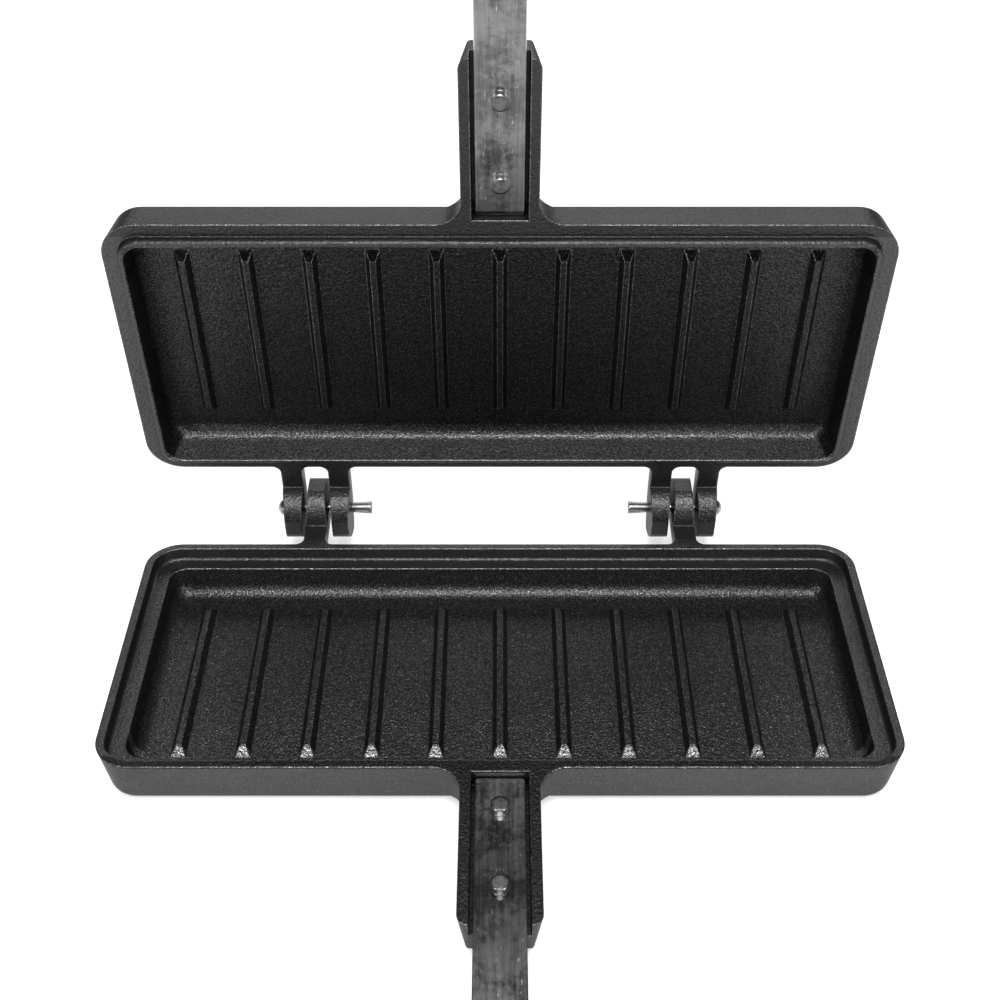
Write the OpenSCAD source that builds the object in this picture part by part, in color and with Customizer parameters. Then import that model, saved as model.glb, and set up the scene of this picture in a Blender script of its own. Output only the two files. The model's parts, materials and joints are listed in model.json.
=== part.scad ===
// Double pan cooking iron: two shallow cast pans hinged along one long side,
// each with a cast arm that holds a long flat steel bar with a wooden grip.
// Origin: middle of the lower pan's flat underside, handles towards -Y.

/* [Pans] */
// Width of both pans along the hinge
pan_w = 250; // [235:1:270]
// Depth of both pans from hinge side to handle side
pan_d = 107.5; // [100:0.5:120]
// Corner radius of both pans at the rim
pan_corner_r = 12; // [10:0.5:15]
// Slope of the outer walls away from upright, in degrees
wall_slope = 10; // [5:1:11]
// Gap between the two rims when the iron is shut
rim_gap = 0.3; // [0.2:0.05:0.6]
// Angle between the two irons as they stand
open_angle = 80; // [10:1:180]

/* [Lower pan] */
// Height of the lower pan
lower_h = 18.5; // [18:0.5:22]
// Rounding under the lower pan's outer wall
lower_edge_r = 5; // [3:0.5:6]
// Width of the lower pan's rim
rim_w = 2.6; // [2:0.1:3.6]
// Depth of the recess inside the rim
recess_h = 4.6; // [4:0.1:6]
// Width of the ledge at the foot of the recess
ledge_w = 5.6; // [4:0.1:7]
// Depth of the lower cavity's floor below the rim
lower_floor_h = 15; // [13:0.5:15.5]

/* [Upper pan] */
// Height of the upper pan
upper_h = 15; // [14:0.5:18]
// Rounding behind the upper pan's outer wall
upper_edge_r = 4.5; // [3:0.5:6]
// Width of the flange outside the lip at the left and right sides
flange_side_w = 5.2; // [4.8:0.1:6]
// Width of the flange outside the lip at the hinge and handle sides
flange_front_w = 4.5; // [4.4:0.1:6]
// Width of the raised lip
lip_w = 1.9; // [1.5:0.1:2.5]
// Height of the raised lip
lip_h = 3; // [2:0.1:3.6]
// Rounding along the lip's outer edge and at the foot of the recess
lip_edge_r = 1.2; // [0.4:0.1:1.4]
// Depth of the upper cavity's floor below the flange
upper_floor_h = 10.8; // [9:0.1:11.5]

/* [Cavities] */
// Corner radius of both cavities
cavity_corner_r = 6.2; // [6:0.1:9]
// Slope of the cavity walls away from upright, in degrees
cavity_slope = 5; // [2:1:5]
// Rounding between the cavity walls and the floor
floor_r = 4.8; // [2:0.1:5]

/* [Ribs] */
// Number of ribs in each pan
rib_count = 11; // [5:2:11]
// Distance between neighbouring ribs
rib_pitch = 20.5; // [14:0.5:21]
// Length of a rib along its foot
rib_len = 71.5; // [50:0.5:73]
// Width of a rib at its foot
rib_foot_w = 5; // [4:0.1:6]
// Width of a rib at its top
rib_top_w = 1.9; // [1.2:0.1:2.4]
// Height of the ribs above the floor
rib_h = 3; // [2:0.1:4]
// How far the ribs lie towards the handle from the middle of the pan
rib_shift = 0.25; // [0:0.25:2]

/* [Hinges] */
// Distance from the hinge axis to the pans
hinge_gap = 21.4; // [18:0.1:25]
// Distance between the middles of the two hinges
hinge_spacing = 133.5; // [110:0.5:150]
// Radius of the hinge knuckles
knuckle_r = 10.8; // [9:0.1:12]
// Height of the flat on each knuckle above the hinge axis
knuckle_flat_h = 10.2; // [8:0.1:10.7]
// Thickness of the lower pan's lugs at the rim
lug_t = 7.7; // [6:0.1:9]
// Thickness of the upper pan's ears at the rim
ear_t = 7.5; // [6:0.1:9]
// Gap between a lug and the ears on either side of it
lug_gap = 0.9; // [0.4:0.1:1.5]
// Slope of the knuckles' faces, in degrees
knuckle_slope = 4; // [1:1:5]
// Rounding between the hinge necks and the pans
neck_fillet_r = 3.2; // [1:0.1:3.4]
// Diameter of the hinge pins
pin_d = 3.6; // [3:0.1:5]
// Clearance of the pins in the lugs and ears, on the radius
pin_clear = 0.08; // [0.04:0.01:0.1]
// Diameter of the hinge pins' domed heads
pin_head_d = 6.4; // [5.5:0.1:8]
// Height of the hinge pins' domed heads
pin_head_h = 2.7; // [1.5:0.1:3]
// Length of the pins' tails past the inner ears
pin_tail_len = 7.2; // [4:0.1:10]
// Diameter of the spread end of the pins' tails
pin_flare_d = 4.6; // [3.8:0.1:5]
// Width of the split in the pins' tails
pin_split_w = 0.7; // [0.4:0.1:1]

/* [Arms] */
// Width of the cast arms
arm_w = 24.2; // [22:0.1:28]
// Length of the arms past the pans
arm_len = 58; // [56:0.5:70]
// Height of the arms
arm_h = 14; // [12:0.5:14.5]
// Corner radius of the arms' outer ends
arm_corner_r = 3.6; // [3.6:0.1:5]
// Rounding under the arms' outer walls
arm_edge_r = 0.8; // [0.4:0.1:0.8]
// Rounding where the arms join the pans
arm_fillet_r = 9; // [5:0.5:12]
// Width of the channel in the arms
channel_w = 17.7; // [16.5:0.1:19]
// Distance from a pan to the end of its arm's channel
channel_inset = 1.6; // [1:0.1:3]

/* [Handle bars] */
// Width of the flat steel bars
bar_w = 15; // [14:0.1:16]
// Thickness of the flat steel bars
bar_t = 3.5; // [3:0.1:4.5]
// Length of the flat steel bars
bar_len = 420; // [320:5:480]
// How far the bars lie below the tops of the arms
bar_sink = 2.5; // [2:0.1:3]
// Gap between a bar's inner end and the channel's end
bar_end_gap = 0.4; // [0.2:0.1:1]
// Corner radius at a bar's inner end
bar_corner_r = 1; // [0.5:0.1:2]
// Diameter of the hanging hole
hang_hole_d = 7; // [5:0.5:8]
// Distance from the middle of the hanging hole to the bar's end
hang_hole_inset = 8; // [7:0.5:10]

/* [Arm rivets] */
// Diameter of the arm rivets
rivet_d = 5.7; // [5:0.1:6.5]
// Distance from the pans to the first rivets
rivet_inset = 14; // [10:0.5:16]
// Distance from the arms' outer ends to the outer rivets
outer_rivet_inset = 15; // [10:0.5:18]
// Diameter of the rivet heads
rivet_head_d = 10; // [8:0.1:11]
// Height of the rivet heads
rivet_head_h = 3; // [2:0.1:3.3]
// Clearance round the rivets, on the radius
rivet_clear = 0.05; // [0.02:0.01:0.1]
// Rounding at the ends of the rivets
rivet_edge_r = 0.5; // [0.2:0.1:0.8]

/* [Grips] */
// Length of the wooden grips
grip_len = 120; // [90:1:140]
// Width of the wooden grips
grip_w = 24; // [23:0.5:28]
// Thickness of the wooden grips
grip_t = 10.5; // [9:0.1:11]
// Rounding along the outer edges of the grips
grip_edge_r = 7; // [4:0.5:8]
// Corner radius of the grips in plan
grip_corner_r = 11; // [9:0.5:11]
// Distance from the bars' ends to the grips
grip_inset = 18; // [16:0.5:30]
// Diameter of the grip rivets
grip_rivet_d = 5; // [4:0.1:6]
// Distance between neighbouring grip rivets
grip_rivet_pitch = 36; // [28:1:40]
// Diameter of the grip rivets' heads
grip_rivet_head_d = 8; // [7:0.1:9]
// Height of the grip rivets' heads
grip_rivet_head_h = 1.2; // [0.8:0.1:1.5]
// Height of the upright edge of the grip rivets' heads
grip_rivet_edge_h = 0.4; // [0.2:0.1:0.6]

/* [Hidden] */

// One overrun serves all cuts, one bite joins what is cast in one piece, and one
// crossing lets a fillet cross its walls a little instead of only touching them
overrun = 1;
bite = 1.5;
crossing = 0.05;
// Outlines are rounded to this grain, so that corners and straight runs meet exactly
grain = 0.001;
arc_steps = 8;

axis_y = pan_d / 2 + hinge_gap;
axis_z = lower_h + rim_gap / 2;
ear_offset = lug_t / 2 + lug_gap + ear_t / 2;
ears_w = lug_t + 2 * lug_gap + 2 * ear_t;
floor_of_channel = bar_sink + bar_t;
rivet_hole_d = rivet_d + 2 * rivet_clear;
grip_rivet_hole_d = grip_rivet_d + 2 * rivet_clear;
bar_start = channel_inset + bar_end_gap;
bar_end = bar_start + bar_len;
grip_mid = bar_end - grip_inset - grip_len / 2;

iron_grey = [0.17, 0.17, 0.18];
bright_steel = [0.72, 0.72, 0.73];
dark_wood = [0.42, 0.26, 0.15];

function to_grain(length) = round(length / grain) * grain;

// Half outline of a tub in [inset, height] pairs: a sloping wall from the top
// edge down to a rounded bottom edge at the given depth
function tub_profile(depth, slope, edge_r, top) =
    let (mid_inset = tan(slope) * (depth - edge_r) + edge_r / cos(slope),
         mid_depth = depth - edge_r)
    concat(top > 0 ? [[0, top], [0, 0]] : [[0, 0]],
           [for (i = [0:arc_steps])
               let (a = slope + (90 - slope) * i / arc_steps)
               [to_grain(mid_inset - edge_r * cos(a)), to_grain(-mid_depth - edge_r * sin(a))]]);

// Solid with a rounded rectangle as its top outline, whose walls follow a profile
module tub(w, d, corner_r, depth, slope, edge_r, top = 0) {
    profile = tub_profile(depth, slope, edge_r, top);
    corner = concat([[0, top]], [for (p = profile) [corner_r - p[0], p[1]]], [[0, -depth]]);
    for (turn = [0:3])
        rotate([0, 0, 90 * turn])
            translate([(turn % 2 == 0 ? w : d) / 2 - corner_r, (turn % 2 == 0 ? d : w) / 2 - corner_r, 0])
                rotate_extrude(angle = 90, $fn = 48) polygon(corner);
    rotate([90, 0, 90]) tub_run(w - 2 * corner_r, d, profile);
    rotate([90, 0, 0]) tub_run(d - 2 * corner_r, w, profile);
}

// Straight run of a tub with the profile on both sides
module tub_run(run, across, profile) {
    last = len(profile) - 1;
    linear_extrude(height = run, center = true)
        polygon(concat([for (p = profile) [across / 2 - p[0], p[1]]],
                       [for (i = [last:-1:0]) [profile[i][0] - across / 2, profile[i][1]]]));
}

// Fillet between two walls that meet at a right angle at the origin, and slope
// away below: the walls run along +X and +Y
module wall_fillet(r, depth) {
    reach = r - crossing;
    buried = bite + depth * tan(wall_slope);
    difference() {
        translate([-buried, -buried, -depth]) cube([reach + buried, reach + buried, depth]);
        translate([reach, reach, -depth - overrun])
            cylinder(h = depth + 2 * overrun,
                     r1 = r + (depth + overrun) * tan(wall_slope),
                     r2 = r - overrun * tan(wall_slope), $fn = 64);
    }
}

// Everything of one iron is drawn with the hinge axis as its X axis, the pan
// and handle towards -Y and the hollow side up; these put it in its place
module in_lower() translate([0, axis_y, axis_z]) children();
module in_upper() translate([0, axis_y, axis_z]) rotate([-open_angle, 0, 0]) mirror([0, 0, 1]) children();
module at_pan() translate([0, -hinge_gap - pan_d / 2, -rim_gap / 2]) children();
module at_arm() translate([0, -hinge_gap - pan_d, -rim_gap / 2]) children();
module along_arm(distance) translate([0, -distance, 0]) children();

// One rib with sloping ends and sides, its foot on the floor at z = 0
module rib() {
    intersection() {
        rotate([90, 0, 90])
            linear_extrude(height = rib_foot_w, center = true)
                polygon([[-rib_len / 2, -bite], [rib_len / 2, -bite], [rib_len / 2, 0],
                         [rib_len / 2 - rib_h, rib_h], [rib_h - rib_len / 2, rib_h], [-rib_len / 2, 0]]);
        rotate([90, 0, 0])
            linear_extrude(height = rib_len, center = true)
                polygon([[-rib_foot_w / 2, -bite], [rib_foot_w / 2, -bite], [rib_foot_w / 2, 0],
                         [rib_top_w / 2, rib_h], [-rib_top_w / 2, rib_h], [-rib_foot_w / 2, 0]]);
    }
}

module ribs(floor_h) {
    for (i = [0:rib_count - 1])
        translate([(i - (rib_count - 1) / 2) * rib_pitch, -rib_shift, -floor_h]) rib();
}

// Knuckle with its neck: a disc with a flat on top, sloping faces and a pin hole
module knuckle(t) {
    tip_t = t - 2 * knuckle_r * tan(knuckle_slope);
    neck_len = hinge_gap + bite + knuckle_r * tan(wall_slope);
    difference() {
        intersection() {
            rotate([90, 0, 90])
                linear_extrude(height = t, center = true)
                    union() {
                        intersection() {
                            circle(r = knuckle_r, $fn = 96);
                            translate([-knuckle_r, -knuckle_r]) square([2 * knuckle_r, knuckle_r + knuckle_flat_h]);
                        }
                        translate([-neck_len, -knuckle_r]) square([neck_len, knuckle_r - rim_gap / 2]);
                    }
            rotate([90, 0, 0])
                linear_extrude(height = 2 * (neck_len + knuckle_r), center = true)
                    polygon([[-t / 2, 0], [-tip_t / 2, -knuckle_r], [tip_t / 2, -knuckle_r],
                             [t / 2, 0], [tip_t / 2, knuckle_r], [-tip_t / 2, knuckle_r]]);
        }
        rotate([0, 90, 0])
            cylinder(h = t + 2 * overrun, d = pin_d + 2 * pin_clear, center = true, $fn = 48);
    }
    for (side = [0, 1])
        mirror([side, 0, 0])
            translate([t / 2, -hinge_gap, -rim_gap / 2])
                wall_fillet(neck_fillet_r, knuckle_r - rim_gap);
}

// Cast arm before its channel is cut, with fillets as deep as the pan's straight wall
module arm_block(wall_h) {
    buried = 3 * arm_corner_r;
    along_arm((arm_len - buried) / 2)
        tub(arm_w, arm_len + buried, arm_corner_r, arm_h, wall_slope, arm_edge_r);
    for (side = [0, 1])
        mirror([side, 0, 0])
            translate([arm_w / 2, 0, 0])
                mirror([0, 1, 0]) wall_fillet(arm_fillet_r, min(arm_h, wall_h));
}

// What is cut out of an arm: the bar's channel and the rivets' holes
module arm_cuts() {
    translate([-channel_w / 2, -arm_len - overrun, -floor_of_channel])
        cube([channel_w, arm_len + overrun - channel_inset, floor_of_channel + overrun]);
    rivet_places()
        translate([0, 0, -arm_h - overrun]) cylinder(h = arm_h + overrun, d = rivet_hole_d, $fn = 48);
}

module rivet_places() {
    for (distance = [rivet_inset, arm_len - outer_rivet_inset]) along_arm(distance) children();
}

module grip_rivet_places() {
    for (i = [-1:1]) along_arm(grip_mid + i * grip_rivet_pitch) children();
}

// Lower casting: recessed pan, ribs, arm and two lugs
module lower_pan() {
    color(iron_grey) in_lower() {
        difference() {
            union() {
                at_pan() tub(pan_w, pan_d, pan_corner_r, lower_h, wall_slope, lower_edge_r);
                at_arm() arm_block(lower_h - lower_edge_r);
                for (side = [-1, 1])
                    translate([side * hinge_spacing / 2, 0, 0]) knuckle(lug_t);
            }
            at_pan()
                tub(pan_w - 2 * rim_w, pan_d - 2 * rim_w, pan_corner_r - rim_w,
                    recess_h, cavity_slope, lip_edge_r, overrun);
            at_pan() translate([0, 0, -recess_h])
                tub(pan_w - 2 * (rim_w + ledge_w), pan_d - 2 * (rim_w + ledge_w), cavity_corner_r,
                    lower_floor_h - recess_h, cavity_slope, floor_r, overrun);
            at_arm() arm_cuts();
        }
        at_pan() ribs(lower_floor_h);
    }
}

// Upper casting: pan with a raised lip, ribs, arm and two pairs of ears
module upper_pan() {
    color(iron_grey) in_upper() {
        difference() {
            union() {
                at_pan() {
                    tub(pan_w, pan_d, pan_corner_r, upper_h, wall_slope, upper_edge_r);
                    mirror([0, 0, 1])
                        tub(pan_w - 2 * flange_side_w, pan_d - 2 * flange_front_w,
                            pan_corner_r - flange_side_w, lip_h, cavity_slope, lip_edge_r, bite);
                }
                at_arm() arm_block(upper_h - upper_edge_r);
                for (side = [-1, 1], ear = [-1, 1])
                    translate([side * hinge_spacing / 2 + ear * ear_offset, 0, 0]) knuckle(ear_t);
            }
            at_pan() translate([0, 0, lip_h])
                tub(pan_w - 2 * (flange_side_w + lip_w), pan_d - 2 * (flange_front_w + lip_w),
                    cavity_corner_r, lip_h + upper_floor_h, cavity_slope, floor_r, overrun);
            at_arm() arm_cuts();
        }
        at_pan() ribs(upper_floor_h);
    }
}

// Hinge pin: domed head outside, split and spread tail inside
module hinge_pin(side) {
    head_r = pin_head_d / 2;
    dome_r = (head_r * head_r + pin_head_h * pin_head_h) / (2 * pin_head_h);
    dome_angle = asin(head_r / dome_r);
    tail_end = ears_w + pin_tail_len;
    color(bright_steel) in_upper()
        translate([side * (hinge_spacing + ears_w) / 2, 0, 0])
            rotate([0, -90 * side, 0])
                difference() {
                    rotate_extrude($fn = 48)
                        polygon(concat([[0, tail_end], [0, -pin_head_h]],
                                       [for (i = [1:arc_steps])
                                           let (a = dome_angle * i / arc_steps)
                                           [dome_r * sin(a), dome_r - pin_head_h - dome_r * cos(a)]],
                                       [[pin_d / 2, 0], [pin_d / 2, ears_w], [pin_flare_d / 2, tail_end]]));
                    translate([-pin_flare_d / 2, -pin_split_w / 2, ears_w + pin_d / 2])
                        cube([pin_flare_d, pin_split_w, pin_tail_len]);
                }
}

module left_hinge_pin() hinge_pin(-1);
module right_hinge_pin() hinge_pin(1);

// Flat bar with a squared inner end, a round outer end and a hanging hole
module handle_bar() {
    color(bright_steel) at_arm()
        translate([0, 0, -floor_of_channel])
            linear_extrude(height = bar_t)
                difference() {
                    union() {
                        translate([-bar_w / 2, bar_w / 2 - bar_end])
                            square([bar_w, bar_len - bar_w / 2 - bar_corner_r]);
                        translate([bar_corner_r - bar_w / 2, -bar_start - 2 * bar_corner_r])
                            square([bar_w - 2 * bar_corner_r, 2 * bar_corner_r]);
                        for (side = [-1, 1])
                            translate([side * (bar_w / 2 - bar_corner_r), -bar_start - bar_corner_r])
                                circle(r = bar_corner_r, $fn = 32);
                        translate([0, bar_w / 2 - bar_end]) circle(d = bar_w, $fn = 64);
                    }
                    translate([0, hang_hole_inset - bar_end]) circle(d = hang_hole_d, $fn = 48);
                    rivet_places() circle(d = rivet_hole_d, $fn = 48);
                    grip_rivet_places() circle(d = grip_rivet_hole_d, $fn = 48);
                }
}

module lower_handle_bar() in_lower() handle_bar();
module upper_handle_bar() in_upper() handle_bar();

// Rivet through a bar and an arm: flat stub on the bar, domed head under the arm
module arm_rivet(distance) {
    head_r = rivet_head_d / 2;
    dome_r = (head_r * head_r + rivet_head_h * rivet_head_h) / (2 * rivet_head_h);
    dome_angle = asin(head_r / dome_r);
    color(bright_steel) at_arm() along_arm(distance)
        rotate_extrude($fn = 48)
            polygon(concat([[0, 0], [0, -arm_h - rivet_head_h]],
                           [for (k = [1:arc_steps])
                               let (a = dome_angle * k / arc_steps)
                               [dome_r * sin(a), dome_r - arm_h - rivet_head_h - dome_r * cos(a)]],
                           [[rivet_d / 2, -arm_h]],
                           [for (k = [0:arc_steps])
                               let (a = 90 * k / arc_steps)
                               [rivet_d / 2 - rivet_edge_r + rivet_edge_r * cos(a),
                                rivet_edge_r * sin(a) - rivet_edge_r]]));
}

module lower_root_rivet() in_lower() arm_rivet(rivet_inset);
module lower_outer_rivet() in_lower() arm_rivet(arm_len - outer_rivet_inset);
module upper_root_rivet() in_upper() arm_rivet(rivet_inset);
module upper_outer_rivet() in_upper() arm_rivet(arm_len - outer_rivet_inset);

// Wooden scale on the outer face of a bar
module grip() {
    color(dark_wood) at_arm()
        difference() {
            translate([0, -grip_mid, -floor_of_channel])
                tub(grip_w, grip_len, grip_corner_r, grip_t, wall_slope, grip_edge_r);
            grip_rivet_places()
                translate([0, 0, -floor_of_channel - grip_t - overrun])
                    cylinder(h = grip_t + 2 * overrun, d = grip_rivet_hole_d, $fn = 48);
        }
}

module lower_grip() in_lower() grip();
module upper_grip() in_upper() grip();

// Rivet through a bar and its grip: flush on the bar, low head on the wood
module grip_rivet(i) {
    foot = floor_of_channel + grip_t;
    color(bright_steel) at_arm() along_arm(grip_mid + i * grip_rivet_pitch)
        rotate_extrude($fn = 48)
            polygon([[0, -bar_sink], [0, -foot - grip_rivet_head_h],
                     [grip_rivet_d / 2, -foot - grip_rivet_head_h],
                     [grip_rivet_head_d / 2, -foot - grip_rivet_edge_h],
                     [grip_rivet_head_d / 2, -foot],
                     [grip_rivet_d / 2, -foot], [grip_rivet_d / 2, -bar_sink]]);
}

module lower_grip_rivet_1() in_lower() grip_rivet(-1);
module lower_grip_rivet_2() in_lower() grip_rivet(0);
module lower_grip_rivet_3() in_lower() grip_rivet(1);
module upper_grip_rivet_1() in_upper() grip_rivet(-1);
module upper_grip_rivet_2() in_upper() grip_rivet(0);
module upper_grip_rivet_3() in_upper() grip_rivet(1);

lower_pan();
upper_pan();
left_hinge_pin();
right_hinge_pin();
lower_handle_bar();
upper_handle_bar();
lower_root_rivet();
lower_outer_rivet();
upper_root_rivet();
upper_outer_rivet();
lower_grip();
upper_grip();
lower_grip_rivet_1();
lower_grip_rivet_2();
lower_grip_rivet_3();
upper_grip_rivet_1();
upper_grip_rivet_2();
upper_grip_rivet_3();
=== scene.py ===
"""Looks of a double pan pie iron: two ribbed cast pans hinged along one long side,
flat steel handle bars riveted into their arms, and wooden grips."""

import json
from math import radians

import bmesh
import bpy
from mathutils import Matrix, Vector

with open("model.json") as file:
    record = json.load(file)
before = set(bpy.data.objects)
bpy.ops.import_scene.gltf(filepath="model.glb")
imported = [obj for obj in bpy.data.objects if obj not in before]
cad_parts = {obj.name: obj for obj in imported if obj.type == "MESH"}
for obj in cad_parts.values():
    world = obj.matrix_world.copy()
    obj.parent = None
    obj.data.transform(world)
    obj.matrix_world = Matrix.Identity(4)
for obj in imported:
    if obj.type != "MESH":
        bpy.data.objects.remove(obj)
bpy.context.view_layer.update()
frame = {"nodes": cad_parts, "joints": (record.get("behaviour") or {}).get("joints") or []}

# The two pans are sand castings in grey iron, each in one piece with its ribs, its arm
# and its half of the hinge. The mould's sand left a pebbled skin. Its edges are rubbed
# bright, and oil and smoke have baked on black inside the cavities. Painted shade lies
# in the corners, on the tops at the handle, in the upper cavity's middle and on its rib
# ends. Painted highlights lie on the lower rib ends and the upper hinge wall.

hinge = frame["joints"][0]
hinge_line = hinge["pos_m"]
parting_height = hinge_line[2]
turn_to_shut = radians(-hinge["range_deg"][0])


class Value:
    """A shader socket that can be written in sums and products."""

    def __init__(self, finish, socket):
        self.finish = finish
        self.socket = socket

    def maths(self, operation, *values):
        return self.finish.add("ShaderNodeMath", {"operation": operation}, dict(enumerate(values)))

    def __add__(self, other):
        return self.maths("ADD", self, other)

    __radd__ = __add__

    def __mul__(self, other):
        return self.maths("MULTIPLY", self, other)

    __rmul__ = __mul__

    def __sub__(self, other):
        return self.maths("SUBTRACT", self, other)

    def __rsub__(self, other):
        return self.maths("SUBTRACT", other, self)

    def __abs__(self):
        return self.maths("ABSOLUTE", self)

    def rises(self, start, end):
        """0 below start, 1 above end, and smooth between them."""
        return self.finish.add(
            "ShaderNodeMapRange",
            {"interpolation_type": "SMOOTHSTEP"},
            {"Value": self, "From Min": start, "From Max": end},
        )

    def within(self, reach, fade):
        """1 on both sides of zero, fading to 0 at the reach."""
        return (reach - abs(self)).rises(0, fade)


def colour(shade):
    """A link as it is, and a grey or a red, green and blue with full alpha."""
    if isinstance(shade, Value):
        return shade
    if isinstance(shade, float):
        shade = (shade,) * 3
    return (*shade, 1)


class Finish:
    """A material for the pieces of one iron, or for the floor. Its place is where a point
    lies when the iron is shut, so that grain and wear run alike on both irons."""

    def __init__(self, owner, name, **fixed):
        self.material = bpy.data.materials.new(f"{owner}_{name}")
        self.material.use_nodes = True
        self.tree = self.material.node_tree
        self.shader = self.tree.nodes["Principled BSDF"]
        for socket, value in fixed.items():
            self.shader.inputs[socket.replace("_", " ")].default_value = value
        self.place = self.add("ShaderNodeTexCoord", {}, {}, "Object")
        if owner == "upper":
            self.place = self.add(
                "ShaderNodeVectorRotate",
                {"rotation_type": "X_AXIS"},
                {"Vector": self.place, "Center": hinge_line, "Angle": turn_to_shut},
            )

    def add(self, kind, settings, sockets, output=0):
        """A new node of this kind, as the value of one of its outputs."""
        node = self.tree.nodes.new(kind)
        for setting, value in settings.items():
            setattr(node, setting, value)
        for name, value in sockets.items():
            if isinstance(value, Value):
                self.tree.links.new(value.socket, node.inputs[name])
            else:
                node.inputs[name].default_value = value
        return Value(self, node.outputs[output])

    def feed(self, socket, value):
        """Let this value vary the shader over the surface."""
        self.tree.links.new(value.socket, self.shader.inputs[socket])

    def distance(self, axis):
        """How far a point lies along X, Y or Z."""
        return self.add("ShaderNodeSeparateXYZ", {}, {0: self.place}, axis)

    def depth(self):
        """How far a point lies from the plane where the shut pans' rims meet."""
        return abs(self.distance("Z") - parting_height)

    def noise(self, scale, detail, roughness):
        """A cloudy pattern of this many spots per metre, stretched where that is a triple."""
        place = self.place
        if isinstance(scale, tuple):
            place = self.add("ShaderNodeMapping", {}, {"Vector": place, "Scale": scale})
            scale = 1.0
        return self.add(
            "ShaderNodeTexNoise",
            {"noise_dimensions": "3D"},
            {"Vector": place, "Scale": scale, "Detail": detail, "Roughness": roughness},
        )

    def blend(self, share, low, high):
        """A colour between low and high."""
        # A Mix node repeats its sockets for each kind of value. Its colours are 6, 7 and 2.
        sockets = {0: share, 6: colour(low), 7: colour(high)}
        return self.add("ShaderNodeMix", {"data_type": "RGBA"}, sockets, 2)

    def rounded(self, radius, samples=6):
        """The way the surface faces if every edge is rounded by this radius."""
        return self.add("ShaderNodeBevel", {"samples": samples}, {"Radius": radius})

    def edges(self, rounded):
        """0 where a face is flat, and more the further its rounding turns it."""
        flat = self.add("ShaderNodeNewGeometry", {}, {}, "True Normal")
        faces = {0: rounded, 1: flat}
        return 1 - self.add("ShaderNodeVectorMath", {"operation": "DOT_PRODUCT"}, faces, "Value")

    def dent(self, strength, deepest, height, rounded=None):
        """Dents and bumps as high as this, on rounded edges where those are given."""
        sockets = {"Strength": strength, "Distance": deepest, "Height": height}
        if rounded:
            sockets["Normal"] = rounded
        self.feed("Normal", self.add("ShaderNodeBump", {}, sockets))

    def wear(self, *pieces):
        """Put this finish on CAD pieces."""
        for piece in pieces:
            slots = frame["nodes"][piece].data.materials
            slots.clear()
            slots.append(self.material)


class PanPlaces:
    """The places on a pan that look different, each above 0 there and 0 elsewhere."""

    def __init__(self, cast, half_width, half_depth, floor_depth):
        wall_fade, line_fade = 0.0008, 0.0003
        across = cast.distance("X")
        along = cast.distance("Y")
        depth = cast.depth()

        self.cavity = across.within(half_width, wall_fade) * along.within(half_depth, wall_fade)
        hinge_side = (0.0457, 0.0463)
        self.hinge_wall = self.cavity * along.rises(*hinge_side)

        # The rib ends at the handle side get a painted highlight on the lower pan and painted shade on
        # the upper.
        rib_end_middle, rib_end_reach = -0.035, 0.0018
        rib_foot = (0.0002, 0.0006)
        rib_ends = (along - rib_end_middle).within(rib_end_reach, line_fade)
        self.rib_ends = self.cavity * rib_ends * (floor_depth - depth).rises(*rib_foot)

        # The tops at the handle side get painted shade.
        handle_line, top_depth, top_fade = -0.049, 0.0012, 0.0006
        handle_side = (handle_line - along).rises(0, line_fade)
        self.handle_tops = handle_side * (top_depth - depth).rises(0, top_fade) * (1 - self.cavity)

        # The cavity's middle, more towards the hinge, gets painted shade.
        middle = 1 - abs(across).rises(0, 0.1)
        self.shaded_middle = middle * (0.4 + 0.25 * along.rises(-0.02, 0.03))


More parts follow.
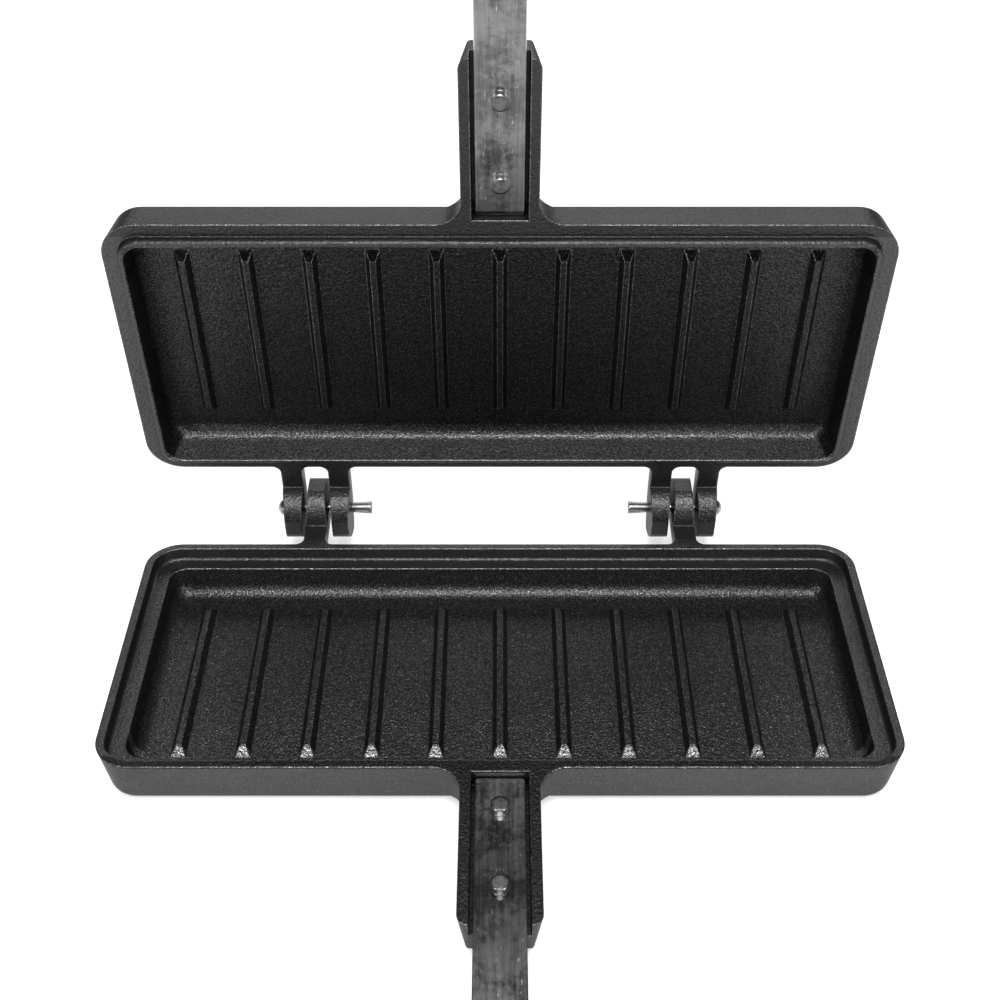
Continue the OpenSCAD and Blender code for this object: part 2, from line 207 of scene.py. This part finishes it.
def cast_iron(iron, cavity_size, outside, inside, speckle, hinge_wall_highlight=0.0, rib_end_highlight=0.0, painted_shade_amount=0.0):
    """One pan's skin. The cavity's size is its half width, half depth and floor depth, and
    outside and inside are each a dark and a light grey. The rest is how strong the specks
    are, how strong the painted highlight on the hinge wall and on the rib ends is, and how
    the painted shade is spread over the cavity's middle, the handle tops and the rib ends."""
    cast = Finish(iron, "cast_iron", Metallic=0.85, Specular_Tint=(0.5, 0.5, 0.5, 1))
    places = PanPlaces(cast, *cavity_size)
    # The upper hinge wall keeps the outside grey: painted light in place of the seasoned black.
    seasoned = places.cavity * (1 - hinge_wall_highlight * places.hinge_wall)
    rounded = cast.rounded(0.0008)
    openness = cast.add("ShaderNodeAmbientOcclusion", {"samples": 6}, {"Distance": 0.005}, "AO")
    worn_edge = cast.edges(rounded).rises(0.05, 0.2) * openness.rises(0.55, 0.85)

    sand = cast.noise(1500, 2.0, 0.6)
    pebbles = cast.noise(1000, 1.0, 0.5)
    patches = cast.noise(26, 3.0, 0.6)
    specks = cast.noise(2400, 0.0, 0.5).rises(0.65, 0.78)
    grit = sand.rises(0.3, 0.7)

    # Painted shade darkens the upper cavity's middle, the tops at the handle on both pans,
    # every corner and the upper rib ends.
    middle_shade, handle_top_shade, corner_shade = 0.004, 0.006, 0.014
    cavity = cast.blend(painted_shade_amount * places.shaded_middle, cast.blend(grit, *inside), middle_shade)
    skin = cast.blend(seasoned, cast.blend(0.5 * patches + 0.5 * grit, *outside), cavity)
    skin = cast.blend(places.handle_tops * (0.7 - 0.35 * painted_shade_amount), skin, handle_top_shade)
    # Corners and hollows get painted shade by how closed in they are.
    unshaded = openness.rises(0.0, 0.7) * (1 - painted_shade_amount * places.rib_ends)
    shaded_skin = cast.blend(unshaded, corner_shade, skin)

    # Bare iron shows as grains where the skin is rubbed, and as specks everywhere. The same
    # bright grey is a painted highlight on the lower rib ends and the upper hinge wall.
    bare_iron_and_highlight = (0.70, 0.70, 0.71)
    wear_and_highlight = 0.25 * worn_edge + 0.2 * rib_end_highlight * places.rib_ends + 0.11 * hinge_wall_highlight * places.hinge_wall
    grains = speckle * (0.3 + 0.7 * seasoned) + 3 * wear_and_highlight
    bright = wear_and_highlight * (0.1 + 1.8 * grit) + specks * grains
    cast.feed("Base Color", cast.blend(bright, shaded_skin, bare_iron_and_highlight))
    cast.feed("Roughness", 0.30 + 0.1 * sand)
    cast.dent(1.0, 0.00034, sand * 0.4 + pebbles * 0.6, rounded)
    cast.wear(f"{iron}_pan")


# The upper pan's greys are darker than the lower's, most of all inside: painted shade, as both pans
# are one iron.
cast_iron(
    "lower",
    cavity_size=(0.1172, 0.0464, 0.0151),
    outside=(0.04256, 0.09856),
    inside=(0.026, 0.078),
    speckle=0.26,
    rib_end_highlight=1.0,
)
cast_iron(
    "upper",
    cavity_size=(0.1183, 0.0479, 0.0109),
    outside=(0.038, 0.088),
    inside=(0.0165, 0.0495),
    speckle=0.16,
    hinge_wall_highlight=1.0,
    painted_shade_amount=0.9,
)

# The handle bars are flat steel stock with square edges, ground along their length
# and stained since then. Each lies in the channel of its pan's arm, held by two rivets.
# Their greys change near the pan and between the two bars as painted reflection, and
# their long edges carry a painted highlight.


def bar_steel(iron, outer, root):
    """One bar, with a dark and a light grey for its length and for its root at the pan; how these
    differ is painted reflection.
    """
    steel = Finish(iron, "polished_bar_steel", Metallic=1.0)
    scratches = steel.noise((1100, 45, 1100), 4.0, 0.7)
    nicks = steel.noise((1500, 300, 1500), 1.0, 0.5).rises(0.70, 0.76)
    smudge = steel.noise(55, 3.0, 0.6)
    mottle = steel.noise(480, 4.0, 0.7)
    stain = (smudge * 0.6 + mottle * 0.4).rises(0.40, 0.58) * 0.65 + scratches.rises(0.35, 0.65) * 0.35
    # Near the pan each bar takes other greys: painted reflection.
    root_begins, root_ends = -0.088, -0.058
    near_pan = steel.distance("Y").rises(root_begins, root_ends)
    stain_and_reflection = steel.blend(near_pan, steel.blend(stain, *outer), steel.blend(stain, *root))
    ground = steel.rounded(0.0006)
    # Nicks show bare steel, and the square long edges carry a painted highlight.
    wear_and_highlight = 0.4 * nicks + 0.8 * steel.edges(ground).rises(0.01, 0.08)
    bare_steel_and_highlight = 0.8
    steel.feed("Base Color", steel.blend(wear_and_highlight, stain_and_reflection, bare_steel_and_highlight))
    steel.feed("Roughness", 0.11 + 0.12 * stain + 0.05 * scratches)
    steel.dent(0.5, 0.00003, scratches * 0.5 + mottle * 0.5, ground)
    steel.wear(f"{iron}_handle_bar")


# The lower bar is darker along its length and lighter at its root than the upper: painted reflection.
bar_steel("lower", outer=(0.0725, 0.145), root=(0.185, 0.37))
bar_steel("upper", outer=(0.1375, 0.275), root=(0.0775, 0.155))

# The rivets and the hinge pins are drawn steel wire. Two rivets go through each arm and
# bar, and three through each grip and bar. The arm rivets are cut off level with the
# arm's top, and the pins' split tails are spread.


def drawn_steel(iron, *pieces):
    """Bright wire, duller at the hinge, and dark where the arm rivets are cut off."""
    wire = Finish(iron, "drawn_rivet_steel", Metallic=1.0)
    marks = wire.noise(400, 3.0, 0.6)
    at_hinge = wire.distance("Y").rises(0, 0.001)
    cut_end = (1 - wire.depth().rises(0.0002, 0.0005)) * (1 - at_hinge)
    drawn = wire.blend(marks, (0.6, 0.6, 0.61), (0.85, 0.85, 0.86))
    dulled = wire.blend(at_hinge, drawn, 0.35)
    cut = wire.blend(marks.rises(0.3, 0.7), 0.05, 0.16)
    wire.feed("Base Color", wire.blend(cut_end, dulled, cut))
    wire.feed("Roughness", 0.24 + 0.12 * marks + 0.1 * cut_end)
    wire.dent(0.5, 0.0001, marks, wire.rounded(0.0012, samples=8))
    wire.wear(*pieces)


for iron, pins in (("lower", []), ("upper", ["left_hinge_pin", "right_hinge_pin"])):
    arm_rivets = [f"{iron}_{spot}_rivet" for spot in ("root", "outer")]
    grip_rivets = [f"{iron}_grip_rivet_{count}" for count in (1, 2, 3)]
    drawn_steel(iron, *arm_rivets, *grip_rivets, *pins)

# The grips are scales of oiled hardwood, one on each bar's outer face, sanded round
# and held by three rivets.

dark_brown = (0.075, 0.030, 0.012)
light_brown = (0.30, 0.150, 0.070)
pore_brown = (0.030, 0.013, 0.006)

for iron in ("lower", "upper"):
    wood = Finish(iron, "oiled_hardwood")
    fibres = wood.noise((420, 16, 420), 5.0, 0.65)
    rings = wood.noise((110, 9, 110), 2.0, 0.5)
    pores = wood.noise((1600, 90, 1600), 1.0, 0.5).rises(0.56, 0.7)
    figure = (fibres * 0.45 + rings * 0.55).rises(0.3, 0.7)
    grain = wood.blend(figure, dark_brown, light_brown)
    wood.feed("Base Color", wood.blend(0.7 * pores, grain, pore_brown))
    wood.feed("Roughness", 0.36 + 0.2 * fibres + 0.2 * pores)
    wood.dent(0.4, 0.0003, fibres - pores)
    wood.wear(f"{iron}_grip")

# The floor is a plain sheet just under the lower pan. A painted pool of light round the
# object looks white to the camera and in the metal, and further away the sheet is painted
# grey, as painted shade.

floor_reach = 6.0
floor_height = -0.0004
light_pool_middle = (0, 0.45, 0)
light_pool_edge = (0.6, 1.5)

sheet = Finish("floor", "white_sheet", Roughness=0.9, Emission_Strength=1.0)
paper = sheet.noise(9, 2.0, 0.5)
between = {0: sheet.place, 1: light_pool_middle}
from_middle = sheet.add("ShaderNodeVectorMath", {"operation": "DISTANCE"}, between, "Value")
# A painted pool of light: white near the object, grey further away.
light_pool = 1 - from_middle.rises(*light_pool_edge)
sheet.feed("Base Color", sheet.blend(light_pool, 0.5, sheet.blend(paper, 0.88, 0.90)))
looked_at = sheet.add("ShaderNodeLightPath", {}, {}, "Is Camera Ray")
mirrored = sheet.add("ShaderNodeLightPath", {}, {}, "Is Glossy Ray")
seen_through = sheet.add("ShaderNodeLightPath", {}, {}, "Is Transmission Ray")
glow = (looked_at + mirrored + seen_through) * light_pool
sheet.feed("Emission Color", sheet.blend(glow, 0.0, 0.5))


def put_in_scene(name, data):
    thing = bpy.data.objects.new(name, data)
    bpy.context.scene.collection.objects.link(thing)
    return thing


floor_mesh = bmesh.new()
bmesh.ops.create_grid(floor_mesh, x_segments=1, y_segments=1, size=floor_reach)
bmesh.ops.translate(floor_mesh, verts=floor_mesh.verts, vec=(0, 0, floor_height))
floor_data = bpy.data.meshes.new("floor")
floor_mesh.to_mesh(floor_data)
floor_mesh.free()
floor_data.materials.append(sheet.material)
floor = put_in_scene("floor", floor_data)

# Six soft lamps light the object: a large one in front, one above, a low and a faint
# high one behind, and a small low one at the left and at the right of the camera. The
# pale walls of a light tent fill in the shadows.


def facing(direction):
    """The turn that points a lamp or the camera this way."""
    return direction.to_track_quat("-Z", "Y").to_euler()


for name, spot, aim, (wide, high), watts in (
    ("front_lamp", (0, -0.6, 1.1), (0, 0.05, 0.05), (0.6, 0.6), 12.5),
    ("top_lamp", (0, 0.3, 1.25), (0, 0.05, 0.05), (0.6, 0.6), 5),
    ("back_lamp", (0, 1.2, 0.62), (0, 0.1, 0.1), (1.4, 0.45), 5.5),
    ("high_back_lamp", (0, 0.9, 1.3), (0, -0.1, 0), (1.2, 0.8), 0.7),
    ("left_lamp", (-0.8, -0.9, 0.35), (0, 0, 0.08), (0.35, 0.35), 4.2),
    ("right_lamp", (0.8, -0.9, 0.35), (0, 0, 0.08), (0.35, 0.35), 4.2),
):
    lamp = bpy.data.lights.new(name, "AREA")
    lamp.shape = "RECTANGLE"
    lamp.size = wide
    lamp.size_y = high
    lamp.energy = watts
    holder = put_in_scene(name, lamp)
    holder.location = spot
    holder.rotation_euler = facing(Vector(aim) - Vector(spot))

tent = bpy.data.worlds.new("light_tent")
tent.use_nodes = True
tent_walls = tent.node_tree.nodes["Background"]
tent_walls.inputs["Color"].default_value = (1, 1, 1, 1)
tent_walls.inputs["Strength"].default_value = 0.07
bpy.context.scene.world = tent

# The camera looks down over the lower handle, from where the photograph was taken. Its
# lens is the one through which both pans' outlines fit the picture.

camera_data = bpy.data.cameras.new("camera")
camera_data.sensor_width = 36
camera_data.lens = 55.8
camera = put_in_scene("camera", camera_data)
camera.location = (0, -0.378, 0.368)
camera.rotation_euler = facing(Vector((0, 0.7949, -0.6068)))
bpy.context.scene.camera = camera
bpy.context.scene.view_settings.view_transform = "Standard"
